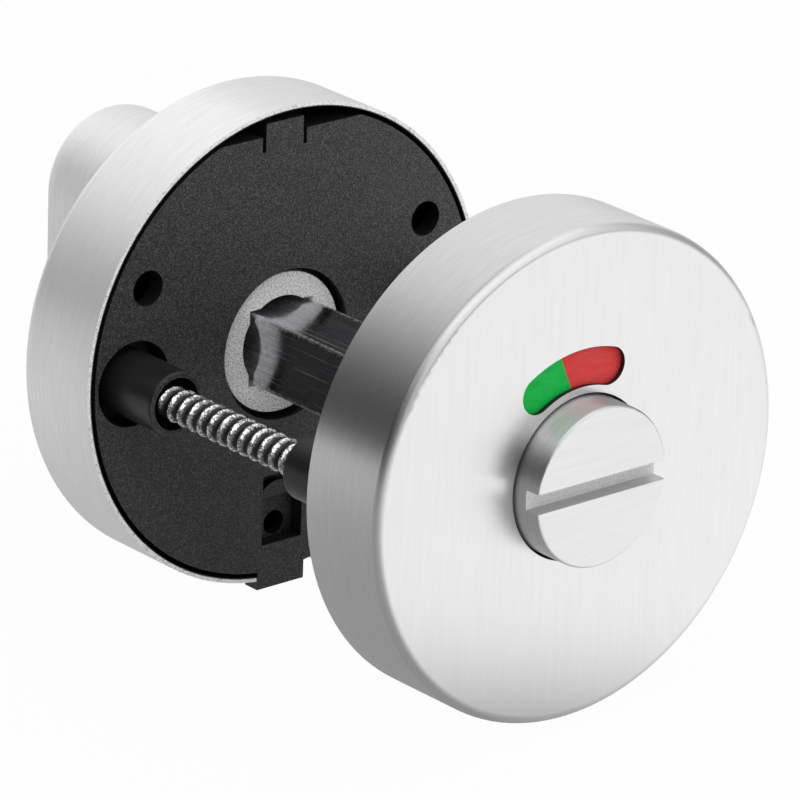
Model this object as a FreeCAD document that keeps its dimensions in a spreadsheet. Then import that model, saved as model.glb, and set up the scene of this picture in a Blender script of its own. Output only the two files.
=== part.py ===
"""Bathroom turn and release set: a round rose with a thumb turn inside, a round rose with a coin slot and an
indicator outside, and the square spindle and two long screws that join them through the door.

World frame, in millimetres: +Z is up, the lock's axis lies along Y, the outside is towards -Y and the inside
towards +Y. The origin is on the spindle's axis, in the middle of the door.

Each half is drawn in a frame of its own: X across, Y up, and Z along the axis, from the door's face outwards.
"""
import FreeCAD, Part
import math
import os
import re
import Sketcher

SIZES = [
    # Door and roses
    ("door_thickness", 35.0),
    ("rose_diameter", 52.0),
    ("rose_thickness", 10.8),
    ("cover_wall", 0.5),
    ("cover_edge_round", 1.0),
    ("notch_depth", 2.3),
    ("notch_reach", 2.1),
    ("notch_fit", 0.1),
    ("pry_gap", 2.0),
    # Window in the outside cover: an arc slot, measured on its middle line
    ("window_radius", 11.5),
    ("window_width", 4.0),
    ("window_half_span", 24.0),
    ("window_lean", 6.75),
    # Backplates
    ("plate_gap", 0.5),
    ("flat_drop", 1.75),
    ("plate_corner", 1.6),
    ("plate_floor", 2.1),
    ("plate_wall", 1.6),
    ("skirt_height", 8.2),
    ("tab_width", 6.2),
    ("tab_thickness", 2.0),
    ("tab_rise", 0.8),
    ("tongue_width", 4.9),
    ("tongue_offset", 0.9),
    ("tongue_rise", 1.4),
    ("tongue_slit_width", 0.45),
    ("tongue_root_depth", 1.7),
    ("snap_gap", 0.2),
    ("snap_start", 3.2),
    ("snap_length", 1.4),
    ("rib_thickness", 1.4),
    ("rib_height", 5.4),
    ("rib_bearing", 45.0),
    ("wood_screw_inset", 6.6),
    ("wood_screw_height", 10.0),
    ("wood_screw_hole_diameter", 3.8),
    # Catch recess near the plate's lower edge
    ("catch_width", 5.3),
    ("catch_margin", 3.1),
    ("catch_height", 7.7),
    ("catch_depth", 1.75),
    ("catch_floor", 1.3),
    ("catch_wall", 1.2),
    ("catch_step_height", 0.9),
    ("catch_step_radius", 2.5),
    ("catch_step_drop", 2.85),
    ("catch_step_centre_drop", 3.65),
    ("catch_hole_diameter", 2.65),
    ("catch_hole_drop", 6.25),
    ("catch_hole_offset", 0.3),
    # Hub, sockets and their retainers
    ("hub_diameter", 21.0),
    ("hub_height", 6.9),
    ("running_fit", 0.06),
    ("end_float", 0.1),
    ("socket_flange_diameter", 15.2),
    ("socket_flange_gap", 0.6),
    ("socket_inset_depth", 0.9),
    ("socket_flange_depth", 2.35),
    ("socket_journal_diameter", 14.0),
    ("socket_length", 8.2),
    ("socket_bulge_diameter", 10.1),
    ("washer_diameter", 19.0),
    ("washer_thickness", 0.5),
    ("circlip_diameter", 17.0),
    ("circlip_thickness", 0.8),
    ("circlip_groove_diameter", 13.0),
    ("circlip_fit", 0.03),
    ("circlip_opening", 40.0),
    # Spindle and the tangs that share its holes
    ("spindle_width", 7.7),
    ("spindle_play", 0.35),
    ("spindle_reach", 4.3),
    ("spindle_chamfer", 0.4),
    ("tang_gap", 0.4),
    ("tang_fit", 0.02),
    # Thumb turn
    ("grip_width", 17.0),
    ("grip_height", 35.9),
    ("grip_depth", 13.8),
    ("grip_edge_round", 2.7),
    ("grip_back_round", 0.4),
    ("neck_diameter", 16.0),
    ("neck_length", 6.7),
    ("cover_hole_gap", 0.3),
    # Coin release
    ("head_diameter", 16.9),
    ("head_rise", 3.4),
    ("head_edge_round", 0.3),
    ("slot_width", 2.1),
    ("slot_depth", 1.75),
    # Indicator
    ("disc_diameter", 33.0),
    ("disc_thickness", 0.85),
    ("field_inner_gap", 0.6),
    ("field_edge", 0.5),
    ("field_thickness", 0.2),
    ("field_span", 130.0),
    ("boundary_lean", 9.0),
    ("boundary_bearing", 113.0),
    ("boundary_offset", 2.74),
    ("boundary_margin", 10.0),
    # Screws and their spigots
    ("screw_inset", 5.0),
    ("screw_diameter", 3.8),
    ("screw_tip_round", 0.95),
    ("screw_head_diameter", 6.6),
    ("screw_head_height", 2.4),
    ("screw_head_round", 1.0),
    ("screw_end_gap", 1.0),
    ("screw_seat_gap", 0.02),
    ("screw_play", 0.9),
    ("screw_thread_fit", 0.02),
    ("spigot_diameter", 6.9),
    ("spigot_reach", 7.0),
    ("spigot_edge_round", 0.3),
    ("pit_diameter", 9.2),
    ("pit_depth", 3.2),
    ("boss_diameter", 11.4),
    ("boss_height", 6.0),
]

HALF_TURN = 180
FULL_TURN = 360
UPRIGHT = FreeCAD.Rotation(FreeCAD.Vector(1, 0, 0), 90)
ABOUT_FACE = FreeCAD.Rotation(FreeCAD.Vector(0, 0, 1), HALF_TURN)
TURNED = {"outside": UPRIGHT, "inside": ABOUT_FACE.multiply(UPRIGHT)}
LEVEL_TOLERANCE = 1e-4
DOOR_FACE = {"outside": "-door_thickness / 2", "inside": "door_thickness / 2"}

SIDES = ("(%s)", "-(%s)")

# Sizes that several pieces share, as expressions on the sheet
ROSE = "rose_diameter / 2"
BORE = "rose_diameter / 2 - cover_wall"
PLATE = "rose_diameter / 2 - cover_wall - plate_gap"
FLAT = "rose_diameter / 2 - cover_wall - plate_gap - flat_drop"
SCREW = "rose_diameter / 2 - cover_wall - plate_gap - screw_inset"
CATCH_LOW = "rose_diameter / 2 - cover_wall - plate_gap - catch_margin"
CATCH_TOP = "rose_diameter / 2 - cover_wall - plate_gap - catch_margin - catch_height"
CEILING = "rose_thickness - cover_wall"
SQUARE = "spindle_width / 2 + spindle_play"
TANG = "spindle_width / 2 + spindle_play - tang_fit"
SOCKET_END = "socket_inset_depth + socket_length"
TANG_END = "socket_inset_depth + spindle_reach + tang_gap"
DISC_FRONT = "socket_inset_depth + socket_length + disc_thickness"
WASHER_SEAT = "hub_height + end_float"
CLIP_SEAT = "hub_height + end_float + washer_thickness"

doc = FreeCAD.newDocument("turn_and_release")
sheet = doc.addObject("Spreadsheet::Sheet", "Sizes")
for row, (alias, value) in enumerate(SIZES, start=1):
    sheet.set("A%d" % row, alias)
    sheet.set("B%d" % row, str(value))
    sheet.setAlias("B%d" % row, alias)
doc.recompute()


def sized(text):
    """An expression on the sheet: each word of four letters or more in the text is one of its aliases."""
    return re.sub(r"[a-z_]{4,}", lambda word: "Sizes." + word.group(), text)


def number(text):
    """The present value of such an expression."""
    return float(sheet.evalExpression(sized(text)))


def new_body(label, half, across="0"):
    """An empty body, placed on its half of the lock and moved across by the given size."""
    body = doc.addObject("PartDesign::Body", label)
    body.Label = label
    body.Placement = FreeCAD.Placement(FreeCAD.Vector(), TURNED[half])
    body.setExpression("Placement.Base.x", sized(across))
    body.setExpression("Placement.Base.y", sized(DOOR_FACE[half]))
    return body


def new_sketch(body, plane, height="0", turn=None, about=FreeCAD.Vector(0, 0, 1)):
    """A sketch on one of the body's own planes, lifted by a height and turned about one of its axes."""
    sketch = body.newObject("Sketcher::SketchObject", "Sketch")
    support = next(item for item in body.Origin.OriginFeatures if item.Role == plane)
    sketch.AttachmentSupport = (support, "")
    sketch.MapMode = "FlatFace"
    if turn is not None:
        sketch.AttachmentOffset = FreeCAD.Placement(FreeCAD.Vector(), FreeCAD.Rotation(about, 1))
        sketch.setExpression("AttachmentOffset.Rotation.Angle", sized(turn))
    sketch.setExpression("AttachmentOffset.Base.z", sized(height))
    return sketch


def fix_size(sketch, kind, geometry, text):
    """One driving size of a sketch, such as a radius, bound to the sheet."""
    index = sketch.addConstraint(Sketcher.Constraint(kind, geometry, number(text)))
    sketch.setExpression("Constraints[%d]" % index, sized(text))


def fix_point(sketch, geometry, point, kind, text):
    """Holds a point at a distance from the origin, across or up, on either side of it."""
    value = number(text)
    if value == 0:
        axis = -2 if kind == "DistanceX" else -1
        sketch.addConstraint(Sketcher.Constraint("PointOnObject", geometry, point, axis))
        return
    ends = (-1, 1, geometry, point) if value > 0 else (geometry, point, -1, 1)
    index = sketch.addConstraint(Sketcher.Constraint(kind, *ends, abs(value)))
    signed = text if value > 0 else "-(%s)" % text
    sketch.setExpression("Constraints[%d]" % index, sized(signed))


def add_circle(sketch, radius, across="0", up="0"):
    centre = FreeCAD.Vector(number(across), number(up), 0)
    circle = sketch.addGeometry(Part.Circle(centre, FreeCAD.Vector(0, 0, 1), number(radius)))
    fix_size(sketch, "Radius", circle, radius)
    fix_point(sketch, circle, 3, "DistanceX", across)
    fix_point(sketch, circle, 3, "DistanceY", up)


def add_arc(sketch, centre, start, end):
    """An arc that runs anticlockwise from one point to another."""
    radius = (start - centre).Length
    first, last = (math.atan2(point.y - centre.y, point.x - centre.x) for point in (start, end))
    circle = Part.Circle(centre, FreeCAD.Vector(0, 0, 1), radius)
    return sketch.addGeometry(Part.ArcOfCircle(circle, first, last))


def add_loop(sketch, corners):
    """A closed outline of level and upright lines. A corner is (across, up) or (across, up, round)."""
    count = len(corners)
    places = [FreeCAD.Vector(number(corner[0]), number(corner[1]), 0) for corner in corners]
    rounds = [number(corner[2]) if len(corner) == 3 else 0 for corner in corners]
    ways = [(places[(i + 1) % count] - places[i]).normalize() for i in range(count)]
    lines = []
    for i in range(count):
        start = places[i] + ways[i] * rounds[i]
        end = places[(i + 1) % count] - ways[i] * rounds[(i + 1) % count]
        line = sketch.addGeometry(Part.LineSegment(start, end))
        level = abs(ways[i].y) < 0.5
        sketch.addConstraint(Sketcher.Constraint("Horizontal" if level else "Vertical", line))
        kind, text = ("DistanceY", corners[i][1]) if level else ("DistanceX", corners[i][0])
        fix_point(sketch, line, 1, kind, text)
        lines.append(line)
    for i in range(count):
        before, after = lines[i - 1], lines[i]
        if not rounds[i]:
            sketch.addConstraint(Sketcher.Constraint("Coincident", before, 2, after, 1))
            continue
        first = places[i] - ways[i - 1] * rounds[i]
        last = places[i] + ways[i] * rounds[i]
        centre = first + ways[i] * rounds[i]
        left_turn = ways[i - 1].cross(ways[i]).z > 0
        arc = add_arc(sketch, centre, first, last) if left_turn else add_arc(sketch, centre, last, first)
        near, far = (1, 2) if left_turn else (2, 1)
        sketch.addConstraint(Sketcher.Constraint("Tangent", before, 2, arc, near))
        sketch.addConstraint(Sketcher.Constraint("Tangent", arc, far, after, 1))
        fix_size(sketch, "Radius", arc, corners[i][2])


def add_box(sketch, left, right, low, high):
    add_loop(sketch, [(left, low), (right, low), (right, high), (left, high)])


def add_square(sketch, half_width):
    add_box(sketch, "-(%s)" % half_width, half_width, "-(%s)" % half_width, half_width)


def pad(body, sketch, length, towards_door=False):
    feature = body.newObject("PartDesign::Pad", "Pad")
    feature.Profile = sketch
    feature.setExpression("Length", sized(length))
    feature.Reversed = towards_door
    return feature


def pocket(body, sketch, depth=None, towards_door=False):
    """Cuts a sketch away to a depth, or right through when no depth is given."""
    feature = body.newObject("PartDesign::Pocket", "Pocket")
    feature.Profile = sketch
    feature.Reversed = not towards_door
    if depth is None:
        feature.Type = "ThroughAll"
    else:
        feature.setExpression("Length", sized(depth))
    return feature


def revolve(body, corners, angle=None, turn=None):
    """Turns a section, given as (radius, height) corners, about the lock's axis."""
    sketch = new_sketch(body, "XZ_Plane", turn=turn, about=FreeCAD.Vector(0, 1, 0))
    add_loop(sketch, corners)
    feature = body.newObject("PartDesign::Revolution", "Revolution")
    feature.Profile = sketch
    feature.ReferenceAxis = (sketch, ["V_Axis"])
    feature.Angle = FULL_TURN
    if angle is not None:
        feature.setExpression("Angle", sized(angle))
    return feature


def level_edges(body, height):
    """Names of the body's edges that lie wholly at one height."""
    doc.recompute()
    level = number(height)
    names = []
    for index, edge in enumerate(body.Tip.Shape.Edges, start=1):
        box = edge.BoundBox
        if max(abs(box.ZMin - level), abs(box.ZMax - level)) < LEVEL_TOLERANCE:
            names.append("Edge%d" % index)
    return names


def round_edges(body, height, radius):
    """Rounds the edges that lie wholly at one height."""
    names = level_edges(body, height)
    feature = body.newObject("PartDesign::Fillet", "Fillet")
    feature.Base = (feature.BaseFeature, names)
    feature.setExpression("Radius", sized(radius))


def cover(half, hole):
    """Pressed cap: a revolved wall with a rounded edge, and a notch in its rim for the plate's tab."""
    body = new_body(half + "_cover", half)
    inner_round = "cover_edge_round - cover_wall"
    revolve(body, [
        (ROSE, "0"),
        (ROSE, "rose_thickness", "cover_edge_round"),
        (hole, "rose_thickness"),
        (hole, CEILING),
        (BORE, CEILING, inner_round),
        (BORE, "0"),
    ])
    notch = new_sketch(body, "XY_Plane")
    add_box(notch, "-(tab_width / 2 + pry_gap)", "tab_width / 2 + notch_fit",
            "-(rose_diameter / 2 + tab_rise)", "-(rose_diameter / 2 - notch_reach)")
    pocket(body, notch, "notch_depth")
    return body


def cut_window(body):
    """Arc slot in the outside cover: two arcs about the axis, closed by two round ends."""
    sketch = new_sketch(body, "XY_Plane", "rose_thickness")
    middle, half_width = number("window_radius"), number("window_width / 2")
    origin = FreeCAD.Vector()
    bearings = {"left": "90 + window_lean + window_half_span", "right": "90 + window_lean - window_half_span"}
    rays = {}
    for side, bearing in bearings.items():
        angle = math.radians(number(bearing))
        rays[side] = FreeCAD.Vector(math.cos(angle), math.sin(angle), 0)
    outer = {side: ray * (middle + half_width) for side, ray in rays.items()}
    inner = {side: ray * (middle - half_width) for side, ray in rays.items()}
    far_arc = add_arc(sketch, origin, outer["right"], outer["left"])
    left_end = add_arc(sketch, rays["left"] * middle, outer["left"], inner["left"])
    near_arc = add_arc(sketch, origin, inner["right"], inner["left"])
    right_end = add_arc(sketch, rays["right"] * middle, inner["right"], outer["right"])
    sketch.addConstraint([
        Sketcher.Constraint("Coincident", far_arc, 3, -1, 1),
        Sketcher.Constraint("Coincident", near_arc, 3, -1, 1),
        Sketcher.Constraint("Tangent", far_arc, 2, left_end, 1),
        Sketcher.Constraint("Tangent", left_end, 2, near_arc, 2),
        Sketcher.Constraint("Tangent", near_arc, 1, right_end, 1),
        Sketcher.Constraint("Tangent", right_end, 2, far_arc, 1),
    ])
    fix_size(sketch, "Radius", left_end, "window_width / 2")
    fix_point(sketch, left_end, 3, "DistanceX", "window_radius * cos(%s)" % bearings["left"])
    fix_point(sketch, left_end, 3, "DistanceY", "window_radius * sin(%s)" % bearings["left"])
    fix_point(sketch, right_end, 3, "DistanceX", "window_radius * cos(%s)" % bearings["right"])
    pocket(body, sketch, towards_door=True)


def plate_outline(sketch, inset):
    """Round outline with a flat top and rounded corners, drawn in from the plate's edge by an inset."""
    reach = "(%s) - (%s)" % (PLATE, inset)
    flat = "(%s) - (%s)" % (FLAT, inset)
    radius, corner, height = number(reach), number("plate_corner"), number(flat)
    low = height - corner
    centre_x = math.sqrt((radius - corner) ** 2 - low ** 2)
    origin = FreeCAD.Vector()
    right, left = FreeCAD.Vector(centre_x, low, 0), FreeCAD.Vector(-centre_x, low, 0)
    right_meet, left_meet = (point * (radius / (radius - corner)) for point in (right, left))
    right_top, left_top = FreeCAD.Vector(centre_x, height, 0), FreeCAD.Vector(-centre_x, height, 0)
    rim = add_arc(sketch, origin, left_meet, right_meet)
    right_corner = add_arc(sketch, right, right_meet, right_top)
    top = sketch.addGeometry(Part.LineSegment(right_top, left_top))
    left_corner = add_arc(sketch, left, left_top, left_meet)
    sketch.addConstraint([
        Sketcher.Constraint("Coincident", rim, 3, -1, 1),
        Sketcher.Constraint("Tangent", rim, 2, right_corner, 1),
        Sketcher.Constraint("Tangent", right_corner, 2, top, 1),
        Sketcher.Constraint("Tangent", top, 2, left_corner, 1),
        Sketcher.Constraint("Tangent", left_corner, 2, rim, 1),
        Sketcher.Constraint("Equal", right_corner, left_corner),
        Sketcher.Constraint("Horizontal", top),
    ])
    fix_size(sketch, "Radius", rim, reach)
    fix_size(sketch, "Radius", right_corner, "plate_corner")
    fix_point(sketch, top, 1, "DistanceY", flat)


def plate_tray(body):
    """The moulding's floor and skirt, with the hub, ribs and two screw bosses that stand behind the floor."""
    blank = new_sketch(body, "XY_Plane")
    plate_outline(blank, "0")
    pad(body, blank, "skirt_height")
    hollow = new_sketch(body, "XY_Plane", "skirt_height")
    plate_outline(hollow, "plate_wall")
    pocket(body, hollow, "skirt_height - plate_floor", towards_door=True)
    hub = new_sketch(body, "XY_Plane", "plate_floor")
    add_circle(hub, "hub_diameter / 2")
    pad(body, hub, "hub_height - plate_floor")
    ribs = new_sketch(body, "XY_Plane", "plate_floor", turn="rib_bearing")
    near, far = "hub_diameter / 2 - plate_wall / 2", "(%s) - plate_wall / 2" % PLATE
    side = "rib_thickness / 2"
    add_box(ribs, near, far, "-(%s)" % side, side)
    add_box(ribs, "-(%s)" % far, "-(%s)" % near, "-(%s)" % side, side)
    add_box(ribs, "-(%s)" % side, side, near, far)
    add_box(ribs, "-(%s)" % side, side, "-(%s)" % far, "-(%s)" % near)
    pad(body, ribs, "rib_height - plate_floor")
    for side in SIDES:
        boss = new_sketch(body, "XY_Plane", "plate_floor")
        add_circle(boss, "boss_diameter / 2", side % SCREW)
        pad(body, boss, "boss_height - plate_floor")
    trim = new_sketch(body, "XY_Plane", "plate_floor")
    add_circle(trim, PLATE)
    add_circle(trim, "(%s) + boss_diameter" % PLATE)
    pocket(body, trim, "boss_height - plate_floor")


def plate_edge(body):
    """The tab that fills the cover's notch, and the slit tongue with its snap nib at the flat top."""
    tab = new_sketch(body, "XY_Plane")
    add_box(tab, "-tab_width / 2", "tab_width / 2",
            "-(rose_diameter / 2 + tab_rise)", "-((%s) - plate_wall)" % PLATE)
    pad(body, tab, "tab_thickness")
    left, right = "tongue_offset - tongue_width / 2", "tongue_offset + tongue_width / 2"
    tip = "(%s) + tongue_rise" % FLAT
    tongue = new_sketch(body, "XY_Plane")
    add_box(tongue, left, right, "(%s) - plate_wall" % FLAT, tip)
    pad(body, tongue, "plate_floor")
    nib = new_sketch(body, "XY_Plane", "snap_start")
    add_box(nib, left, right, "(%s) - plate_wall / 2" % FLAT, "(%s) - snap_gap" % BORE)
    pad(body, nib, "snap_length")
    slits = new_sketch(body, "XY_Plane")
    root = "(%s) - tongue_root_depth" % FLAT
    add_box(slits, "(%s) - tongue_slit_width" % left, left, root, tip)
    add_box(slits, right, "(%s) + tongue_slit_width" % right, root, tip)
    pocket(body, slits)


def plate_catch(body):
    """Catch recess near the lower edge: a box behind the floor, with a rounded step and a hole inside."""
    low, high = "-(%s)" % CATCH_LOW, "-(%s)" % CATCH_TOP
    block = new_sketch(body, "XY_Plane", "plate_floor")
    add_box(block, "-(catch_width / 2 + catch_wall)", "catch_width / 2 + catch_wall",
            "(%s) - catch_wall" % low, "(%s) + catch_wall" % high)
    pad(body, block, "catch_depth + catch_floor - plate_floor")
    recess = new_sketch(body, "XY_Plane")
    add_box(recess, "-catch_width / 2", "catch_width / 2", low, high)
    pocket(body, recess, "catch_depth")
    step = new_sketch(body, "XY_Plane", "catch_depth")
    chord, centre = (-number("(%s) + %s" % (CATCH_TOP, drop)) for drop in ("catch_step_drop", "catch_step_centre_drop"))
    reach = math.sqrt(number("catch_step_radius") ** 2 - (chord - centre) ** 2)
    ends = [FreeCAD.Vector(sign * reach, chord, 0) for sign in (1, -1)]
    dome = add_arc(step, FreeCAD.Vector(0, centre, 0), *ends)
    base = step.addGeometry(Part.LineSegment(ends[1], ends[0]))
    step.addConstraint([
        Sketcher.Constraint("Coincident", dome, 2, base, 1),
        Sketcher.Constraint("Coincident", base, 2, dome, 1),
        Sketcher.Constraint("Horizontal", base),
    ])
    fix_size(step, "Radius", dome, "catch_step_radius")
    fix_point(step, dome, 3, "DistanceX", "0")
    fix_point(step, dome, 3, "DistanceY", "-((%s) + catch_step_centre_drop)" % CATCH_TOP)
    fix_point(step, base, 1, "DistanceY", "-((%s) + catch_step_drop)" % CATCH_TOP)
    pad(body, step, "catch_step_height", towards_door=True)
    hole = new_sketch(body, "XY_Plane")
    add_circle(hole, "catch_hole_diameter / 2", "-catch_hole_offset", "-((%s) + catch_hole_drop)" % CATCH_TOP)
    pocket(body, hole)


def plate_holes(body, screw_bore):
    """The stepped bore for the socket, the wood-screw holes and the hollow spigots in their pits."""
    seat = new_sketch(body, "XY_Plane")
    add_circle(seat, "socket_flange_diameter / 2 + socket_flange_gap")
    pocket(body, seat, "socket_flange_depth + end_float")
    bore = new_sketch(body, "XY_Plane")
    add_circle(bore, "socket_journal_diameter / 2 + running_fit")
    pocket(body, bore)
    wood_screws = new_sketch(body, "XY_Plane")
    for side in SIDES:
        across = side % ("(%s) - wood_screw_inset" % PLATE)
        add_circle(wood_screws, "wood_screw_hole_diameter / 2", across, "wood_screw_height")
    pocket(body, wood_screws)
    for side in SIDES:
        across = side % SCREW
        pit = new_sketch(body, "XY_Plane")
        add_circle(pit, "pit_diameter / 2", across)
        pocket(body, pit, "pit_depth")
        spigot = new_sketch(body, "XY_Plane", "pit_depth")
        add_circle(spigot, "spigot_diameter / 2", across)
        pad(body, spigot, "pit_depth + spigot_reach", towards_door=True)
    round_edges(body, "-spigot_reach", "spigot_edge_round")
    screws = new_sketch(body, "XY_Plane", "-spigot_reach")
    for side in SIDES:
        add_circle(screws, screw_bore, side % SCREW)
    pocket(body, screws)


def backplate(half, screw_bore):
    body = new_body(half + "_backplate", half)
    plate_tray(body)
    plate_edge(body)
    plate_catch(body)
    plate_holes(body, screw_bore)
    return body


def socket(label, half):
    """Zinc casting: a flange, a journal with a groove, and a square hole with bulged sides."""
    body = new_body(label, half)
    groove_end = "(%s) + circlip_thickness + circlip_fit" % CLIP_SEAT
    revolve(body, [
        ("0", "socket_inset_depth"),
        ("socket_flange_diameter / 2", "socket_inset_depth"),
        ("socket_flange_diameter / 2", "socket_flange_depth"),
        ("socket_journal_diameter / 2", "socket_flange_depth"),
        ("socket_journal_diameter / 2", CLIP_SEAT),
        ("circlip_groove_diameter / 2", CLIP_SEAT),
        ("circlip_groove_diameter / 2", groove_end),
        ("socket_journal_diameter / 2", groove_end),
        ("socket_journal_diameter / 2", SOCKET_END),
        ("0", SOCKET_END),
    ])
    square = new_sketch(body, "XY_Plane")
    add_square(square, SQUARE)
    pocket(body, square)
    bulge = new_sketch(body, "XY_Plane")
    add_circle(bulge, "socket_bulge_diameter / 2")
    pocket(body, bulge)
    return body


def ring(label, half, inner, outer, low, high, angle=None, turn=None):
    """A flat ring, or a part of one, about the lock's axis."""
    body = new_body(label, half)
    revolve(body, [(inner, low), (outer, low), (outer, high), (inner, high)], angle, turn)
    return body


def retainers(name, half):
    """Friction washer behind the hub, and the open ring that holds it in the socket's groove."""
    washer = ring(name + "_washer", half, "socket_journal_diameter / 2 + running_fit", "washer_diameter / 2",
                  WASHER_SEAT, CLIP_SEAT)
    clip = ring(name + "_circlip", half, "circlip_groove_diameter / 2 + circlip_fit", "circlip_diameter / 2",
                CLIP_SEAT, "(%s) + circlip_thickness" % CLIP_SEAT,
                angle="360 - circlip_opening", turn="90 + circlip_opening / 2")
    return [washer, clip]


def add_tang(body, shoulder):
    """Square tang from a shoulder down into the socket's hole."""
    sketch = new_sketch(body, "XY_Plane", shoulder)
    add_square(sketch, TANG)
    pad(body, sketch, "(%s) - (%s)" % (shoulder, TANG_END), towards_door=True)


def thumb_turn():
    """Oval grip with rounded edges, on a round neck that passes through the inside cover."""
    body = new_body("thumb_turn", "inside")
    grip_start = "rose_thickness + neck_length"
    grip = new_sketch(body, "XY_Plane", grip_start)
    grip_outline(grip)
    pad(body, grip, "grip_depth")
    round_edges(body, "(%s) + grip_depth" % grip_start, "grip_edge_round")
    round_edges(body, grip_start, "grip_back_round")
    neck = new_sketch(body, "XY_Plane", grip_start)
    add_circle(neck, "neck_diameter / 2")
    pad(body, neck, "(%s) - (%s)" % (grip_start, SOCKET_END), towards_door=True)
    add_tang(body, SOCKET_END)
    return body


def grip_outline(sketch):
    """Upright oval: two half circles joined by straight sides."""
    radius, rise = number("grip_width / 2"), number("(grip_height - grip_width) / 2")
    upper, lower = FreeCAD.Vector(0, rise, 0), FreeCAD.Vector(0, -rise, 0)
    side = FreeCAD.Vector(radius, 0, 0)
    top = add_arc(sketch, upper, upper + side, upper - side)
    left = sketch.addGeometry(Part.LineSegment(upper - side, lower - side))
    bottom = add_arc(sketch, lower, lower - side, lower + side)
    right = sketch.addGeometry(Part.LineSegment(lower + side, upper + side))
    outline = [top, left, bottom, right]
    for index, piece in enumerate(outline):
        sketch.addConstraint(Sketcher.Constraint("Tangent", outline[index - 1], 2, piece, 1))
    fix_size(sketch, "Radius", top, "grip_width / 2")
    fix_point(sketch, top, 3, "DistanceX", "0")
    fix_point(sketch, top, 3, "DistanceY", "(grip_height - grip_width) / 2")
    fix_point(sketch, bottom, 3, "DistanceX", "0")
    fix_point(sketch, bottom, 3, "DistanceY", "-(grip_height - grip_width) / 2")


def coin_release():
    """Round head that stands proud of the outside cover, with a slot right across its face."""
    body = new_body("coin_release", "outside")
    face = "rose_thickness + head_rise"
    head = new_sketch(body, "XY_Plane", DISC_FRONT)
    add_circle(head, "head_diameter / 2")
    pad(body, head, "(%s) - (%s)" % (face, DISC_FRONT))
    round_edges(body, face, "head_edge_round")
    slot = new_sketch(body, "XY_Plane", face)
    add_box(slot, "-head_diameter", "head_diameter", "-slot_width / 2", "slot_width / 2")
    pocket(body, slot, "slot_depth", towards_door=True)
    add_tang(body, DISC_FRONT)
    return body


def indicator():
    """Carrier disc keyed on the tang, with a green and a red field that meet along a slanting line."""
    disc = ring("indicator_disc", "outside", "0", "disc_diameter / 2", SOCKET_END, DISC_FRONT)
    key = new_sketch(disc, "XY_Plane")
    add_square(key, SQUARE)
    pocket(disc, key)
    inner, outer = "head_diameter / 2 + field_inner_gap", "disc_diameter / 2 - field_edge"
    front = "(%s) + field_thickness" % DISC_FRONT
    starts = {
        "green": "90 + boundary_lean - boundary_margin",
        "red": "90 + boundary_lean + boundary_margin - field_span",
    }
    beyond = {
        "green": ("-(boundary_offset + disc_diameter)", "-boundary_offset"),
        "red": ("-boundary_offset", "disc_diameter"),
    }
    fields = []
    for colour, start in starts.items():
        field = ring("indicator_" + colour, "outside", inner, outer, DISC_FRONT, front, "field_span", start)
        spare = new_sketch(field, "XY_Plane", turn="boundary_bearing")
        add_box(spare, "0", "disc_diameter", *beyond[colour])
        pocket(field, spare)
        fields.append(field)
    return [disc] + fields


def spindle():
    """Square bar with bevelled ends, from one socket to the other."""
    body = new_body("spindle", "outside")
    end = "socket_inset_depth + spindle_reach"
    sketch = new_sketch(body, "XY_Plane", end)
    add_square(sketch, "spindle_width / 2")
    pad(body, sketch, "door_thickness + 2 * (%s)" % end, towards_door=True)
    names = level_edges(body, end) + level_edges(body, "-(door_thickness + (%s))" % end)
    bevel = body.newObject("PartDesign::Chamfer", "Chamfer")
    bevel.Base = (bevel.BaseFeature, names)
    bevel.setExpression("Size", sized("spindle_chamfer"))
    return body


def fixing_screw(side, across):
    """Long screw with its head on the inside plate's boss and its tip in the outside plate's boss."""
    body = new_body("fixing_screw_" + side, "inside", across)
    tip = "-(door_thickness + boss_height - screw_end_gap)"
    seat = "boss_height + screw_seat_gap"
    head_top = "(%s) + screw_head_height" % seat
    revolve(body, [
        ("0", tip),
        ("screw_diameter / 2", tip, "screw_tip_round"),
        ("screw_diameter / 2", seat),
        ("screw_head_diameter / 2", seat),
        ("screw_head_diameter / 2", head_top, "screw_head_round"),
        ("0", head_top),
    ])
    return body


outside_cover = cover("outside", "head_diameter / 2 + cover_hole_gap")
cut_window(outside_cover)
pieces = [
    outside_cover,
    cover("inside", "neck_diameter / 2 + cover_hole_gap"),
    backplate("outside", "screw_diameter / 2 + screw_thread_fit"),
    backplate("inside", "screw_diameter / 2 + screw_play"),
    socket("release_socket", "outside"),
    socket("turn_socket", "inside"),
    thumb_turn(),
    coin_release(),
    spindle(),
    fixing_screw("left", "-(%s)" % SCREW),
    fixing_screw("right", SCREW),
]
pieces += retainers("release", "outside")
pieces += retainers("turn", "inside")
pieces += indicator()
doc.recompute()

for item in doc.Objects:
    if "Invalid" in item.State or "Error" in item.State:
        raise RuntimeError("%s failed: %s" % (item.Label, item.State))
for piece in pieces:
    if piece.Shape.isNull() or not piece.Shape.isValid() or len(piece.Shape.Solids) != 1:
        raise RuntimeError("%s is not one valid solid" % piece.Label)

os.makedirs("parts", exist_ok=True)
for piece in pieces:
    piece.Shape.exportStep("parts/%s.step" % piece.Label)
    print("%-22s %9.1f mm3" % (piece.Label, piece.Shape.Volume))
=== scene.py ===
"""Looks of the bathroom turn and release set: materials, threaded screws, studio light and the camera."""
import math

import bmesh
import bpy
from mathutils import Matrix, Vector


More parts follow.
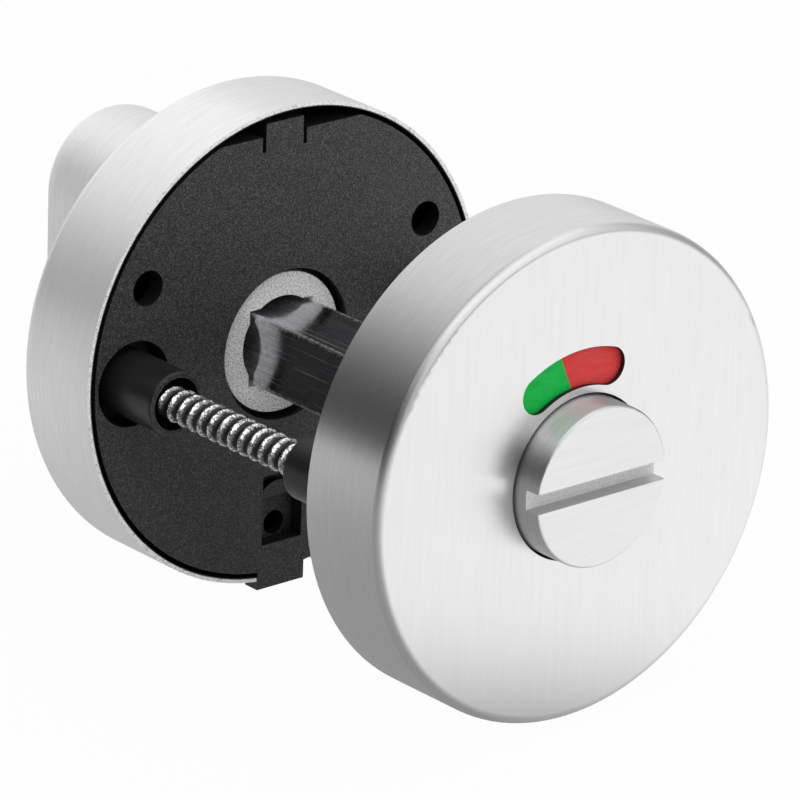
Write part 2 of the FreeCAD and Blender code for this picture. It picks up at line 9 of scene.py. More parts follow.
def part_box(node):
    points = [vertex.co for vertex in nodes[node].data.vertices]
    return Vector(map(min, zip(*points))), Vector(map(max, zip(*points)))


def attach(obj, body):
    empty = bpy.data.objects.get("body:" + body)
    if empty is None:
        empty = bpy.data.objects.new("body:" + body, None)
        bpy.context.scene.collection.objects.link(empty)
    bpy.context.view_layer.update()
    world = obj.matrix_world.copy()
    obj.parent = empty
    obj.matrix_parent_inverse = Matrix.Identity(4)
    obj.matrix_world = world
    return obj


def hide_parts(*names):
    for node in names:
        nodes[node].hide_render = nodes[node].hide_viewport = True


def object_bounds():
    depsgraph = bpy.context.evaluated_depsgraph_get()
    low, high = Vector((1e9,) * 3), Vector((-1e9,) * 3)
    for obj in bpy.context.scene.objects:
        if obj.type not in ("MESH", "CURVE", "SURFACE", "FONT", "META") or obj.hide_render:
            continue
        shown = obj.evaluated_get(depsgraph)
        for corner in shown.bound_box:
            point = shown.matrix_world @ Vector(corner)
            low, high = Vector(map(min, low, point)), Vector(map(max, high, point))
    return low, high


MM = 0.001

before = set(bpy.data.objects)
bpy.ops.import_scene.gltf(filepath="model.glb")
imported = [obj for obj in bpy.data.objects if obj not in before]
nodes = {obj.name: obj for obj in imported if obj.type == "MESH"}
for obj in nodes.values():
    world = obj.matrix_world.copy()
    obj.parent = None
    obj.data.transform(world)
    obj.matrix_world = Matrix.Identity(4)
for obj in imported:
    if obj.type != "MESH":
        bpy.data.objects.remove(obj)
cad_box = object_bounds()


# Camera, fitted to the photograph's outlines
CAMERA_AZIMUTH = -40.74
CAMERA_ELEVATION = 20.94
CAMERA_ROLL = 1.87
CAMERA_DISTANCE = 741.6 * MM
CAMERA_LENS = 321.2
CAMERA_TARGET = Vector((10.26, 11.14, -6.50)) * MM
CAMERA_CLIP = (0.01, 20)


def direction(azimuth, elevation):
    """Unit vector towards a place seen at an azimuth and elevation: azimuth 0 is towards -Y, 90 towards +X."""
    a, e = math.radians(azimuth), math.radians(elevation)
    return Vector((math.sin(a) * math.cos(e), -math.cos(a) * math.cos(e), math.sin(e)))


def make_camera():
    data = bpy.data.cameras.new("camera")
    data.lens = CAMERA_LENS
    data.clip_start, data.clip_end = CAMERA_CLIP
    camera = bpy.data.objects.new("camera", data)
    bpy.context.scene.collection.objects.link(camera)
    back = direction(CAMERA_AZIMUTH, CAMERA_ELEVATION)
    right = Vector((0, 0, 1)).cross(back).normalized()
    turn = Matrix.Rotation(math.radians(CAMERA_ROLL), 3, back)
    right = turn @ right
    up = back.cross(right)
    pose = Matrix((right, up, back)).transposed().to_4x4()
    pose.translation = CAMERA_TARGET + back * CAMERA_DISTANCE
    camera.matrix_world = pose
    bpy.context.scene.camera = camera


class Nodes:
    """Short calls that add shader nodes to one tree."""

    def __init__(self, tree):
        self.tree = tree
        tree.nodes.clear()

    def add(self, kind, **settings):
        node = self.tree.nodes.new(kind)
        for name, value in settings.items():
            setattr(node, name, value)
        return node

    def feed(self, socket, value):
        """Links a socket to another, or sets it to a plain value."""
        if isinstance(value, bpy.types.NodeSocket):
            self.tree.links.new(value, socket)
        else:
            socket.default_value = value

    def math(self, operation, *values):
        node = self.add("ShaderNodeMath", operation=operation)
        for socket, value in zip(node.inputs, values):
            self.feed(socket, value)
        return node.outputs[0]

    def ramp(self, value, low, high, to_low=0.0, to_high=1.0):
        """Smooth step of a value between two limits."""
        node = self.add("ShaderNodeMapRange", interpolation_type="SMOOTHSTEP")
        for name, item in (("Value", value), ("From Min", low), ("From Max", high),
                           ("To Min", to_low), ("To Max", to_high)):
            self.feed(node.inputs[name], item)
        return node.outputs["Result"]

    def mix(self, factor, first, second):
        """Mix of two numbers."""
        node = self.add("ShaderNodeMix", data_type="FLOAT")
        for index, item in ((0, factor), (2, first), (3, second)):
            self.feed(node.inputs[index], item)
        return node.outputs[0]

    def mix_colour(self, factor, first, second):
        node = self.add("ShaderNodeMix", data_type="RGBA")
        for index, item in ((0, factor), (6, first), (7, second)):
            self.feed(node.inputs[index], item)
        return node.outputs[2]

    def place(self):
        """Position on the piece, in millimetres, and its surface's direction."""
        coordinates = self.add("ShaderNodeTexCoord")
        scale = self.add("ShaderNodeVectorMath", operation="SCALE")
        self.feed(scale.inputs[0], coordinates.outputs["Object"])
        scale.inputs["Scale"].default_value = 1 / MM
        return scale.outputs[0], coordinates.outputs["Normal"]

    def split(self, vector):
        node = self.add("ShaderNodeSeparateXYZ")
        self.feed(node.inputs[0], vector)
        return node.outputs

    def radius(self, x, z):
        """Distance from an axis along Y."""
        return self.math("SQRT", self.math("ADD", self.math("MULTIPLY", x, x), self.math("MULTIPLY", z, z)))

    def along(self, vector, way):
        """Length of a vector along a direction."""
        node = self.add("ShaderNodeVectorMath", operation="DOT_PRODUCT")
        self.feed(node.inputs[0], vector)
        node.inputs[1].default_value = way
        return node.outputs["Value"]

    def noise(self, place, per_mm, detail=2.0, roughness=0.5):
        """Noise whose grains have the given number per millimetre along each axis."""
        stretch = self.add("ShaderNodeVectorMath", operation="MULTIPLY")
        self.feed(stretch.inputs[0], place)
        stretch.inputs[1].default_value = per_mm
        node = self.add("ShaderNodeTexNoise")
        self.feed(node.inputs["Vector"], stretch.outputs[0])
        node.inputs["Scale"].default_value = 1.0
        node.inputs["Detail"].default_value = detail
        node.inputs["Roughness"].default_value = roughness
        return node.outputs["Fac"]

    def speckle(self, place, per_mm):
        """Rough grains of a cut surface."""
        return self.ramp(self.noise(place, per_mm, detail=3.0, roughness=0.7), *SPECKLE_LIMITS)

    def bump(self, height, depth_mm, strength):
        node = self.add("ShaderNodeBump")
        node.inputs["Strength"].default_value = strength
        node.inputs["Distance"].default_value = depth_mm * MM
        self.feed(node.inputs["Height"], height)
        return node.outputs[0]

    def surface(self, **inputs):
        """Principled shader, joined to the output."""
        shader = self.add("ShaderNodeBsdfPrincipled")
        for name, value in inputs.items():
            self.feed(shader.inputs[name.replace("_", " ").title().replace("Ior", "IOR")], value)
        output = self.add("ShaderNodeOutputMaterial")
        self.feed(output.inputs["Surface"], shader.outputs[0])


def new_material(name):
    material = bpy.data.materials.new(name)
    material.use_nodes = True
    return material, Nodes(material.node_tree)


def grey(value):
    return (value, value, value, 1)


def even(count):
    """The same number of grains along each axis."""
    return (count, count, count)


# Brushed steel: colours of its faces and of its sides, and the painted shade of what lies inside a cover
FACE_DARK = (0.868, 0.866, 0.865, 1)
FACE_LIGHT = (0.908, 0.906, 0.905, 1)
SIDE_DARK = (0.83, 0.825, 0.825, 1)
SIDE_LIGHT = (0.945, 0.94, 0.94, 1)
INSIDE_PAINTED_SHADE = (0.06, 0.06, 0.06, 1)
STEEL_INSIDE_ROUGHNESS = 0.5
STEEL_ANISOTROPY = 0.6

# Its grain, in grains per millimetre along X, Y and Z, and how far it changes tone, roughness and height
UPRIGHT_GRAIN = (9.0, 1.0, 0.15)
LEVEL_GRAIN = (0.15, 1.0, 9.0)
SIDE_GRAIN = (0.3, 14.0, 0.3)
SIDE_WIDE_GRAIN = (0.2, 6.0, 0.2)
WIDE_PER_FINE = 0.5
FINE_SHARE = 0.65
TONE_LIMITS = (0.3, 0.7)
STEEL_GRAIN_ROUGHNESS = 0.012
STEEL_CLOUD = even(0.12)
STEEL_CLOUD_ROUGHNESS = 0.04
STEEL_BUMP = (0.0015, 0.3)

# How squarely a surface faces along Y: on flat faces, at both ends of a rounded edge, and on a hole's walls
FACING_FLAT = (0.55, 0.85)
FACING_EDGE = (0.1, 0.4)
FACING_EDGE_END = (0.9, 1.0)
FACING_WALL = 0.5
# Painted shade: grey that tones down the lamp's highlight on a cover's rounded edge, which is also rougher
EDGE_PAINTED_SHADE = 0.82
EDGE_ROUGHER = 0.1

# Where a piece changes: distances from the axis, and then from the door's middle
COVER_INSIDE_MM = 25.6
HOLES_MM = 20.0
FACE_INSIDE_MM = 27.9
RIM_MM = 17.7
SLOT_FLOOR_MM = 31.3

# Cut surfaces with rough grains, and the coin's sides, painted darker than its face as painted shade
SPECKLE_LIMITS = (0.36, 0.5)
CUT_METAL = 0.1
RIM_GRAIN = even(5.0)
RIM_DARK = 0.5
RIM_LIGHT = 1.0
SLOT_GRAIN = even(6.0)
SLOT_DARK = 0.75
SLOT_LIGHT = 1.0
COIN_SIDE_PAINTED_SHADE_DARK = 0.56
COIN_SIDE_PAINTED_SHADE_LIGHT = 0.66
COIN_SIDE_ROUGHNESS = 0.46
COIN_ANISOTROPY = 0.9


def satin_steel(name, face_grain, roughness_mid, metal=1.0, is_cover=False, is_coin=False):
    """Steel brushed around the sides, and along one direction on the flat faces.

    Highlights stretch along Y on the sides and along X on the faces, with a sign that keeps the way between them
    off the rounded edge's normal. A cover is painted dark inside and on its holes' walls as painted shade; its
    rounded edge is rougher and greyed with painted shade that tones down a lamp's highlight; and its cut rim at the
    door is bright and rough. The coin's sides are rougher than its face and painted darker as painted shade, and
    its slot has a rough floor.
    """
    material, n = new_material(name)
    place, normal = n.place()
    x, y, z = n.split(place)
    depth = n.math("ABSOLUTE", y)
    facing = n.math("ABSOLUTE", n.split(normal)[1])
    on_face = n.ramp(facing, *FACING_FLAT)
    wide_grain = tuple(WIDE_PER_FINE * count for count in face_grain)
    fine = n.mix(on_face, n.noise(place, SIDE_GRAIN), n.noise(place, face_grain))
    wide = n.mix(on_face, n.noise(place, SIDE_WIDE_GRAIN), n.noise(place, wide_grain))
    grain = n.mix(FINE_SHARE, wide, fine)
    tone = n.ramp(grain, *TONE_LIMITS)
    colour = n.mix_colour(on_face, n.mix_colour(tone, SIDE_DARK, SIDE_LIGHT),
                          n.mix_colour(tone, FACE_DARK, FACE_LIGHT))
    spread = n.mix(tone, roughness_mid + STEEL_GRAIN_ROUGHNESS, roughness_mid - STEEL_GRAIN_ROUGHNESS)
    cloud = n.noise(place, STEEL_CLOUD)
    roughness = n.math("ADD", spread, n.math("MULTIPLY", cloud, STEEL_CLOUD_ROUGHNESS))
    metallic = metal
    if is_coin:
        in_slot = n.math("MULTIPLY", on_face, n.math("LESS_THAN", depth, SLOT_FLOOR_MM))
        # Painted shade: the coin's sides are painted darker than its face
        side = n.mix_colour(tone, grey(COIN_SIDE_PAINTED_SHADE_DARK), grey(COIN_SIDE_PAINTED_SHADE_LIGHT))
        floor = n.mix_colour(n.speckle(place, SLOT_GRAIN), grey(SLOT_DARK), grey(SLOT_LIGHT))
        colour = n.mix_colour(in_slot, n.mix_colour(on_face, side, colour), floor)
        roughness = n.mix(on_face, COIN_SIDE_ROUGHNESS, roughness)
        metallic = n.mix(in_slot, metal, CUT_METAL)
    if is_cover:
        radius = n.radius(x, z)
        # Painted shade: the rounded edge is greyed to tone down the lamp's highlight there; it is also rougher
        on_edge = n.math("MULTIPLY", n.ramp(facing, *FACING_EDGE), n.ramp(facing, *FACING_EDGE_END, 1.0, 0.0))
        colour = n.mix_colour(on_edge, colour, grey(EDGE_PAINTED_SHADE))
        roughness = n.math("ADD", roughness, n.math("MULTIPLY", on_edge, EDGE_ROUGHER))
        on_rim = n.math("MULTIPLY", on_face, n.math("LESS_THAN", depth, RIM_MM))
        rim = n.mix_colour(n.speckle(place, RIM_GRAIN), grey(RIM_DARK), grey(RIM_LIGHT))
        colour = n.mix_colour(on_rim, colour, rim)
        metallic = n.mix(on_rim, metal, CUT_METAL)
        # Painted shade: a cover's inside and the walls of its holes are painted near black, and are also rougher
        in_shell = n.math("MULTIPLY", n.math("LESS_THAN", radius, COVER_INSIDE_MM),
                          n.math("LESS_THAN", depth, FACE_INSIDE_MM))
        in_hole = n.math("MULTIPLY", n.math("LESS_THAN", radius, HOLES_MM),
                         n.math("LESS_THAN", facing, FACING_WALL))
        inside = n.math("MAXIMUM", in_shell, in_hole)
        colour = n.mix_colour(inside, colour, INSIDE_PAINTED_SHADE)
        roughness = n.mix(inside, roughness, STEEL_INSIDE_ROUGHNESS)
    across = n.math("SIGN", n.math("MULTIPLY", x, n.math("MULTIPLY", y, -1.0)))
    tangent = n.add("ShaderNodeCombineXYZ")
    n.feed(tangent.inputs["X"], n.math("MULTIPLY", on_face, across))
    n.feed(tangent.inputs["Y"], n.math("SUBTRACT", 1.0, on_face))
    to_world = n.add("ShaderNodeVectorTransform", vector_type="VECTOR", convert_from="OBJECT", convert_to="WORLD")
    n.feed(to_world.inputs[0], tangent.outputs[0])
    n.surface(base_color=colour, metallic=metallic, roughness=roughness,
              anisotropic=COIN_ANISOTROPY if is_coin else STEEL_ANISOTROPY,
              tangent=to_world.outputs[0], normal=n.bump(grain, *STEEL_BUMP))
    return material


# Moulded plastic: pits and specks of its texture, smooth walls, and the texture's grain
PLASTIC_PIT = (0.020, 0.020, 0.021, 1)
PLASTIC_SPECK = (0.17, 0.17, 0.178, 1)
PLASTIC_WALL = (0.016, 0.016, 0.0165, 1)
PLASTIC_FINE = even(9.0)
PLASTIC_COARSE = even(4.0)
PLASTIC_FINE_SHARE = 0.7
PLASTIC_FACING_FLAT = (0.6, 0.9)
PLASTIC_SPECK_LIMITS = (0.44, 0.7)
PLASTIC_WALL_ROUGHNESS = 0.33
PLASTIC_FLAT_ROUGHNESS = 0.45
PLASTIC_CLOUD = even(0.09)
PLASTIC_CLOUD_ROUGHNESS = 0.08
PLASTIC_BUMP = (0.16, 0.7)


def black_plastic():
    """Moulded plastic with a fine eroded texture on its flat faces; the spigots and walls are smooth."""
    material, n = new_material("black_plastic")
    place, normal = n.place()
    flat = n.ramp(n.math("ABSOLUTE", n.split(normal)[1]), *PLASTIC_FACING_FLAT)
    fine = n.noise(place, PLASTIC_FINE, roughness=0.6)
    coarse = n.noise(place, PLASTIC_COARSE, detail=3.0)
    textured = n.math("MULTIPLY", n.mix(PLASTIC_FINE_SHARE, coarse, fine), flat)
    shade = n.mix_colour(n.ramp(fine, *PLASTIC_SPECK_LIMITS), PLASTIC_PIT, PLASTIC_SPECK)
    cloud = n.math("MULTIPLY", n.noise(place, PLASTIC_CLOUD), PLASTIC_CLOUD_ROUGHNESS)
    roughness = n.math("ADD", n.mix(flat, PLASTIC_WALL_ROUGHNESS, PLASTIC_FLAT_ROUGHNESS), cloud)
    n.surface(base_color=n.mix_colour(flat, PLASTIC_WALL, shade), roughness=roughness,
              normal=n.bump(textured, *PLASTIC_BUMP))
    return material


# Zinc casting: tones and roughness of its dark and light grains
ZINC_GRAIN = even(5.0)
ZINC_LIMITS = (0.33, 0.58)
ZINC_DARK = 0.42
ZINC_LIGHT = 1.0
ZINC_DARK_ROUGHNESS = 0.6
ZINC_LIGHT_ROUGHNESS = 0.45
ZINC_CLOUD = even(0.4)
ZINC_CLOUD_ROUGHNESS = 0.08
ZINC_METAL = 0.35
ZINC_BUMP = (0.14, 0.8)


def zinc_casting():
    """Die-cast zinc: dull grey with a speckle of darker grains."""
    material, n = new_material("zinc_casting")
    place, _ = n.place()
    grains = n.noise(place, ZINC_GRAIN, detail=3.0, roughness=0.65)
    tone = n.ramp(grains, *ZINC_LIMITS)
    cloud = n.math("MULTIPLY", n.noise(place, ZINC_CLOUD), ZINC_CLOUD_ROUGHNESS)
    roughness = n.math("ADD", n.mix(tone, ZINC_DARK_ROUGHNESS, ZINC_LIGHT_ROUGHNESS), cloud)
    n.surface(base_color=n.mix_colour(tone, grey(ZINC_DARK), grey(ZINC_LIGHT)), metallic=ZINC_METAL,
              roughness=roughness, normal=n.bump(grains, *ZINC_BUMP))
    return material


# Square bar: half its width, how far wear reaches in from its edges and how ragged that is, and its marks
BAR_HALF_MM = 3.85
BAR_WEAR_MM = 0.45
BAR_RAGGED_MM = 1.2
BAR_LINES = (5.0, 0.12, 5.0)
BAR_LINES_SHARE = 0.6
BAR_SPOTS = even(1.6)
BAR_LIMITS = (0.32, 0.68)
BAR_DARK = (0.45, 0.45, 0.475, 1)
BAR_LIGHT = (0.68, 0.68, 0.71, 1)
BAR_DARK_ROUGHNESS = 0.2
BAR_LIGHT_ROUGHNESS = 0.12
BAR_SCRATCHES = (8.0, 0.07, 8.0)
BAR_SCRATCH_LIMITS = (0.62, 0.74)
BAR_SCRATCH_SHARE = 0.7
BAR_MARK = 0.9
BAR_MARK_ROUGHNESS = 0.5
BAR_BUMP = (0.006, 0.5)


def square_bar():
    """Plated bar with drawn lines, scratches along its length and bright worn edges."""
    material, n = new_material("bar_steel")
    place, _ = n.place()
    x, _, z = n.split(place)
    lines = n.noise(place, BAR_LINES)
    spots = n.noise(place, BAR_SPOTS, detail=3.0, roughness=0.6)
    scratches = n.ramp(n.noise(place, BAR_SCRATCHES, detail=1.0), *BAR_SCRATCH_LIMITS)
    near_edge = n.math("MINIMUM", n.math("ABSOLUTE", x), n.math("ABSOLUTE", z))
    ragged = n.math("ADD", near_edge, n.math("MULTIPLY", n.math("SUBTRACT", spots, 0.5), BAR_RAGGED_MM))
    wear = n.ramp(ragged, BAR_HALF_MM - BAR_WEAR_MM, BAR_HALF_MM)
    marks = n.math("MAXIMUM", n.math("MULTIPLY", scratches, BAR_SCRATCH_SHARE), wear)
    tone = n.ramp(n.mix(BAR_LINES_SHARE, spots, lines), *BAR_LIMITS)
    colour = n.mix_colour(marks, n.mix_colour(tone, BAR_DARK, BAR_LIGHT), grey(BAR_MARK))
    roughness = n.mix(marks, n.mix(tone, BAR_DARK_ROUGHNESS, BAR_LIGHT_ROUGHNESS), BAR_MARK_ROUGHNESS)
    n.surface(base_color=colour, metallic=1.0, roughness=roughness, normal=n.bump(lines, *BAR_BUMP))
    return material


# Screws: how far their axes lie from the middle, radius of the painted-shade roots and painted-light crests,
# their grain, and their painted glints
SCREW_ACROSS_MM = 20.0
ROOT_MM = 1.48
CREST_MM = 1.82
SCREW_BROKEN_MM = 0.5
SCREW_SPOTS = even(5.0)
SCREW_GLINT = even(3.6)
SCREW_GLINT_LIMITS = (0.43, 0.57)
SCREW_ROOT_PAINTED_SHADE = 0.04
SCREW_CREST_BETWEEN_GLINTS = 0.22
SCREW_PAINTED_GLINT = 1.0
ROOT_ROUGHNESS = 0.5
CREST_ROUGHNESS = 0.18
SCREW_BUMP = (0.05, 0.8)


def threaded_steel():
    """Zinc-plated screw: rough roots with painted shade, smooth crests with painted light and glints, broken grain.
    """
    material, n = new_material("screw_steel")
    place, _ = n.place()
    x, _, z = n.split(place)
    radius = n.radius(n.math("SUBTRACT", n.math("ABSOLUTE", x), SCREW_ACROSS_MM), z)
    spots = n.noise(place, SCREW_SPOTS, detail=3.0, roughness=0.7)
    broken = n.math("ADD", radius, n.math("MULTIPLY", n.math("SUBTRACT", spots, 0.5), SCREW_BROKEN_MM))
    # Painted shade in the thread's roots, painted light on its crests, and painted glints along the crests
    crest_light_root_shade = n.ramp(broken, ROOT_MM, CREST_MM)
    glint = n.ramp(n.noise(place, SCREW_GLINT, roughness=0.7), *SCREW_GLINT_LIMITS)
    crest = n.mix_colour(glint, grey(SCREW_CREST_BETWEEN_GLINTS), grey(SCREW_PAINTED_GLINT))
    n.surface(base_color=n.mix_colour(crest_light_root_shade, grey(SCREW_ROOT_PAINTED_SHADE), crest), metallic=1.0,
              roughness=n.mix(crest_light_root_shade, ROOT_ROUGHNESS, CREST_ROUGHNESS), normal=n.bump(spots, *SCREW_BUMP))
    return material


# Spring steel of the washers and circlips
SPRING_GRAIN = even(3.0)
SPRING_LIMITS = (0.36, 0.6)
SPRING_DARK = 0.18
SPRING_LIGHT = 0.34
SPRING_DARK_ROUGHNESS = 0.45
SPRING_LIGHT_ROUGHNESS = 0.3
SPRING_BUMP = (0.03, 0.6)


def sprung_steel():
    """Sprung steel with a fine grain."""
    material, n = new_material("spring_steel")
    place, _ = n.place()
    spots = n.noise(place, SPRING_GRAIN, detail=4.0, roughness=0.7)
    tone = n.ramp(spots, *SPRING_LIMITS)
    n.surface(base_color=n.mix_colour(tone, grey(SPRING_DARK), grey(SPRING_LIGHT)), metallic=1.0,
              roughness=n.mix(tone, SPRING_DARK_ROUGHNESS, SPRING_LIGHT_ROUGHNESS),
              normal=n.bump(spots, *SPRING_BUMP))
    return material


# Enamel of the colour fields, in dark and light tones
GREEN_TONES = [(0.008, 0.60, 0.082, 1), (0.012, 0.70, 0.105, 1)]
RED_TONES = [(0.90, 0.065, 0.062, 1), (1.0, 0.09, 0.085, 1)]
DISC_TONES = [grey(0.03), grey(0.05)]
ENAMEL_GRAIN = (0.6, 4.0, 2.6)
ENAMEL_GRAIN_SHARE = 0.5
ENAMEL_CLOUD = even(0.5)
ENAMEL_DARK_ROUGHNESS = 0.5
ENAMEL_LIGHT_ROUGHNESS = 0.4
ENAMEL_SPECULAR = 0.2
ENAMEL_BUMP = (0.01, 0.3)


def enamel(name, dark, light):
    """Painted colour field with a faint turned grain."""
    material, n = new_material(name)
    place, _ = n.place()
    grain = n.noise(place, ENAMEL_GRAIN)
    cloud = n.noise(place, ENAMEL_CLOUD)
    tone = n.ramp(n.mix(ENAMEL_GRAIN_SHARE, cloud, grain), *TONE_LIMITS)
    n.surface(base_color=n.mix_colour(tone, dark, light),
              roughness=n.mix(tone, ENAMEL_DARK_ROUGHNESS, ENAMEL_LIGHT_ROUGHNESS),
              specular_ior_level=ENAMEL_SPECULAR, normal=n.bump(grain, *ENAMEL_BUMP))
    return material


# Threaded screws in place of the plain shanks, in millimetres, with shares for the tip's radius and the dome's rings
THREAD_PITCH = 1.62
THREAD_DEPTH = 0.55
THREAD_FLANK = 0.42
THREAD_STEPS = 16
ROUND_STEPS = 40
SHANK_RADIUS = 1.9
TIP_SHARE = 0.55
TIP_TURNS = 1.2
HEAD_LENGTH = 2.4
HEAD_BEVEL = 0.1
HEAD_DOME = 0.8
HEAD_DOME_RINGS = [(0.35, 0.93), (0.0, 0.72)]


def thread_profile(phase):
    """Share of the thread's depth at a phase of its pitch: straight flanks up to a narrow crest."""
    return max(0.0, 1 - abs(phase % 1 - 0.5) / THREAD_FLANK)


def ring_point(step, radius, along):
    """Point of a ring about the screw's axis."""
    angle = 2 * math.pi * step / ROUND_STEPS
    return Vector((radius * math.cos(angle), along, radius * math.sin(angle)))


def threaded_screw(name):
    """Screw with a coarse thread from its tip to its head, inside the shape of its CAD node."""
    low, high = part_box(name)
    centre = (low + high) / 2
    tip, head_top = low.y / MM, high.y / MM
    head_radius = (high.x - low.x) / 2 / MM
    seat = head_top - HEAD_LENGTH
    rows = []
    count = int((seat - tip) / THREAD_PITCH * THREAD_STEPS)
    for step in range(count + 1):
        along = tip + (seat - tip) * step / count
        taper = min(1.0, TIP_SHARE + (1 - TIP_SHARE) * (along - tip) / (TIP_TURNS * THREAD_PITCH))
        fade = min(1.0, (seat - along) / THREAD_PITCH)
        ring = []
        for k in range(ROUND_STEPS):
            phase = along / THREAD_PITCH - k / ROUND_STEPS
            cut = THREAD_DEPTH * (1 - thread_profile(phase)) * fade
            ring.append(ring_point(k, (SHANK_RADIUS - cut) * taper, along))
        rows.append(ring)
    head = [(seat, head_radius - HEAD_BEVEL), (seat + HEAD_BEVEL, head_radius), (head_top - HEAD_DOME, head_radius)]
    head += [(head_top - below * HEAD_DOME, head_radius * share) for below, share in HEAD_DOME_RINGS]
    rows += [[ring_point(k, radius, along) for k in range(ROUND_STEPS)] for along, radius in head]
    mesh = bpy.data.meshes.new(name + "_threaded")
    made = bmesh.new()
    shift = Vector((centre.x, 0, centre.z))
    grid = [[made.verts.new(point * MM + shift) for point in ring] for ring in rows]
    for near, far in zip(grid, grid[1:]):
        for k in range(ROUND_STEPS):
            after = (k + 1) % ROUND_STEPS
            made.faces.new((near[k], near[after], far[after], far[k]))
    made.faces.new(grid[0][::-1])
    made.faces.new(grid[-1])
    bmesh.ops.recalc_face_normals(made, faces=made.faces)
    for face in made.faces:
        face.smooth = True
    made.to_mesh(mesh)
    made.free()
    screw = bpy.data.objects.new(name + "_threaded", mesh)
    bpy.context.scene.collection.objects.link(screw)
    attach(screw, "roses")
    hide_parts(name)
    return screw


def set_material(piece, material):
    piece.data.materials.clear()
    piece.data.materials.append(material)


# Floor: size, colour, whiteness to the camera, and the levels that metal mirrors from it, over distances in metres
FLOOR_SIZE = 8.0
FLOOR_COLOUR = (0.8, 0.8, 0.8, 1)
FLOOR_WHITE_TO_CAMERA = 0.97
FLOOR_UNDER_TO_METAL = 0.34
FLOOR_NEAR_TO_METAL = 0.54
FLOOR_FAR_TO_METAL = 0.9
FLOOR_FAR = (-0.07, -0.01)
FLOOR_BEHIND = (-0.021, -0.002)
FLOOR_BEHIND_WAY = 135
FLOOR_BEFORE_TO_METAL = 1.0
FLOOR_BEFORE = (-0.01, 0.055)
FLOOR_BEFORE_WAY = 40


def make_floor():
    mesh = bpy.data.meshes.new("floor")
    made = bmesh.new()
    bmesh.ops.create_grid(made, x_segments=1, y_segments=1, size=FLOOR_SIZE / 2)
    made.to_mesh(mesh)
    made.free()
    floor = bpy.data.objects.new("floor", mesh)
    bpy.context.scene.collection.objects.link(floor)
    floor.location.z = cad_box[0].z
    material, n = new_material("floor")
    path = n.add("ShaderNodeLightPath")
    seen = n.math("MULTIPLY", path.outputs["Is Camera Ray"], FLOOR_WHITE_TO_CAMERA)
    mirrored = n.math("MAXIMUM", path.outputs["Is Glossy Ray"], path.outputs["Is Transmission Ray"])
    spot = n.add("ShaderNodeTexCoord").outputs["Object"]
    before = n.along(spot, direction(FLOOR_BEFORE_WAY, 0))
    behind = n.along(spot, direction(FLOOR_BEHIND_WAY, 0))
    far = n.ramp(n.split(spot)[0], *FLOOR_FAR, FLOOR_FAR_TO_METAL, FLOOR_NEAR_TO_METAL)
    lit = n.math("MAXIMUM", n.ramp(before, *FLOOR_BEFORE, 0.0, FLOOR_BEFORE_TO_METAL),
                 n.ramp(behind, *FLOOR_BEHIND, FLOOR_UNDER_TO_METAL, far))
    white = n.math("MAXIMUM", seen, mirrored)
    diffuse = n.add("ShaderNodeBsdfDiffuse")
    diffuse.inputs["Color"].default_value = FLOOR_COLOUR
    glow = n.add("ShaderNodeEmission")
    n.feed(glow.inputs["Strength"], n.mix(mirrored, 1.0, lit))
    blend = n.add("ShaderNodeMixShader")
    n.feed(blend.inputs[0], white)
    n.feed(blend.inputs[1], diffuse.outputs[0])
    n.feed(blend.inputs[2], glow.outputs[0])
    output = n.add("ShaderNodeOutputMaterial")
    n.feed(output.inputs["Surface"], blend.outputs[0])
    set_material(floor, material)


# Soft boxes as seen from the object: azimuth, elevation, inner and outer half angle, strength
WORLD_BASE = 0.03
SOFT_BOXES = [
    (146, 24, 32, 66, 0.95),
    (-95, 55, 5, 32, 0.8),
    (40, -15, 10, 40, 0.5),
]


def make_world():
    world = bpy.data.worlds.new("studio")
    bpy.context.scene.world = world
    world.use_nodes = True
    n = Nodes(world.node_tree)
    way = n.add("ShaderNodeTexCoord").outputs["Generated"]
    level = WORLD_BASE
    for azimuth, elevation, inner, outer, strength in SOFT_BOXES:
        facing = n.along(way, direction(azimuth, elevation))
        share = n.ramp(facing, math.cos(math.radians(outer)), math.cos(math.radians(inner)))
        level = n.math("ADD", n.math("MULTIPLY", share, strength), level)
    light = n.add("ShaderNodeBackground")
    n.feed(light.inputs["Strength"], level)
    backdrop = n.add("ShaderNodeBackground")
    backdrop.inputs["Color"].default_value = grey(1.0)
    choice = n.add("ShaderNodeMixShader")
    n.feed(choice.inputs[0], n.add("ShaderNodeLightPath").outputs["Is Camera Ray"])
    n.feed(choice.inputs[1], light.outputs[0])
    n.feed(choice.inputs[2], backdrop.outputs[0])
    output = n.add("ShaderNodeOutputWorld")
    n.feed(output.inputs["Surface"], choice.outputs[0])


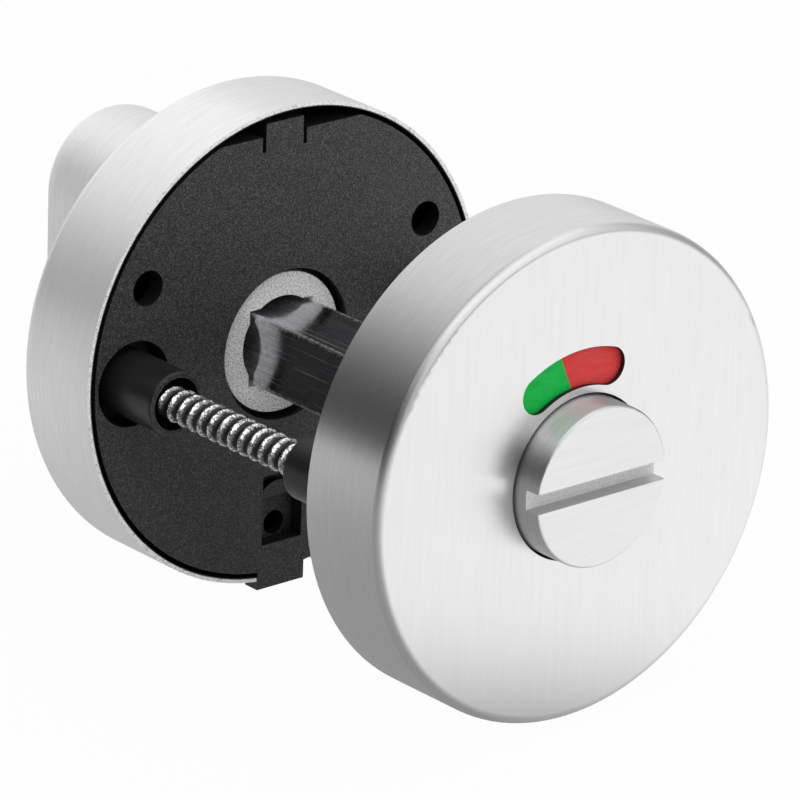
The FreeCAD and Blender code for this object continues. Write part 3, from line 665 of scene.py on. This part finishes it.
def make_lamp(name, azimuth, elevation, distance, size, power, lit_pieces=()):
    """Square soft lamp that faces the object, and lights only the given pieces where there are any."""
    data = bpy.data.lights.new(name, "AREA")
    data.size = size
    data.energy = power
    lamp = bpy.data.objects.new(name, data)
    bpy.context.scene.collection.objects.link(lamp)
    way = direction(azimuth, elevation)
    lamp.location = way * distance
    lamp.rotation_mode = "QUATERNION"
    lamp.rotation_quaternion = way.to_track_quat("Z", "Y")
    if lit_pieces:
        receivers = bpy.data.collections.new(name)
        for piece in lit_pieces:
            receivers.objects.link(piece)
        lamp.light_linking.receiver_collection = receivers


bpy.context.scene.view_settings.view_transform = "Standard"
make_camera()
make_floor()
make_world()

outside_steel = satin_steel("outside_steel", UPRIGHT_GRAIN, roughness_mid=0.30, is_cover=True)
inside_steel = satin_steel("inside_steel", UPRIGHT_GRAIN, roughness_mid=0.40, is_cover=True)
turn_steel = satin_steel("turn_steel", UPRIGHT_GRAIN, roughness_mid=0.50, metal=0.6)
coin_steel = satin_steel("coin_steel", LEVEL_GRAIN, roughness_mid=0.30, is_coin=True)
plastic = black_plastic()
zinc = zinc_casting()
bar_steel = square_bar()
screw_steel = threaded_steel()
spring_steel = sprung_steel()
green = enamel("green_enamel", *GREEN_TONES)
red = enamel("red_enamel", *RED_TONES)
disc = enamel("disc_plastic", *DISC_TONES)

MATERIALS = {
    "outside_cover": outside_steel,
    "inside_cover": inside_steel,
    "thumb_turn": turn_steel,
    "coin_release": coin_steel,
    "outside_backplate": plastic,
    "inside_backplate": plastic,
    "turn_socket": zinc,
    "release_socket": zinc,
    "spindle": bar_steel,
    "turn_washer": spring_steel,
    "release_washer": spring_steel,
    "turn_circlip": spring_steel,
    "release_circlip": spring_steel,
    "indicator_disc": disc,
    "indicator_green": green,
    "indicator_red": red,
    "fixing_screw_left": screw_steel,
    "fixing_screw_right": screw_steel,
}
for name, material in MATERIALS.items():
    set_material(nodes[name], material)
screws = [threaded_screw(name) for name in ("fixing_screw_left", "fixing_screw_right")]
for screw in screws:
    set_material(screw, screw_steel)

make_lamp("key", azimuth=10, elevation=52, distance=1.4, size=2.4, power=21.0)
make_lamp("fill", azimuth=-160, elevation=32, distance=0.5, size=0.9, power=0.82, lit_pieces=[nodes["inside_cover"]])
make_lamp("turn_fill", azimuth=-148, elevation=32, distance=0.5, size=0.9, power=1.25,
          lit_pieces=[nodes["thumb_turn"]])
make_lamp("front", azimuth=-50, elevation=25, distance=0.7, size=0.4, power=2.2,
          lit_pieces=[nodes["inside_cover"], nodes["turn_socket"]] + screws)
